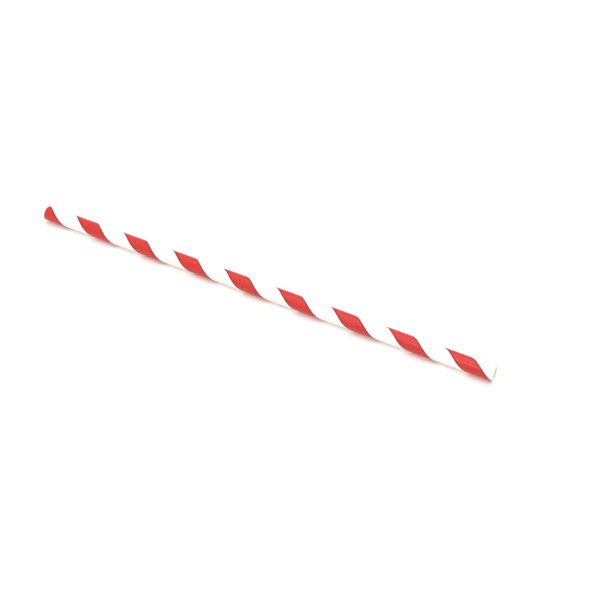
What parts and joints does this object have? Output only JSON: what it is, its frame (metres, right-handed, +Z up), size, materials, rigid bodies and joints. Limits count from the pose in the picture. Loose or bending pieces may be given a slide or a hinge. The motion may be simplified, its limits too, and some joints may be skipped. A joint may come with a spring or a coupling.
{
  "type": "paper drinking straw",
  "caption": "Straight round paper drinking straw, spiral wound, open at both square-cut ends, with a red stripe winding along white paper.",
  "frame": {"origin": "middle of the straw's underside, on the line where it touches the table", "axes": "+X along the straw towards the end that is nearer in the picture, +Z up"},
  "size_m": [0.197, 0.006, 0.0059],
  "materials": {
    "striped_paper": "uncoated matt white paper with a printed red spiral stripe"
  },
  "bodies": {
    "root": {"straw_tube": "striped_paper"}
  },
  "joints": []
}
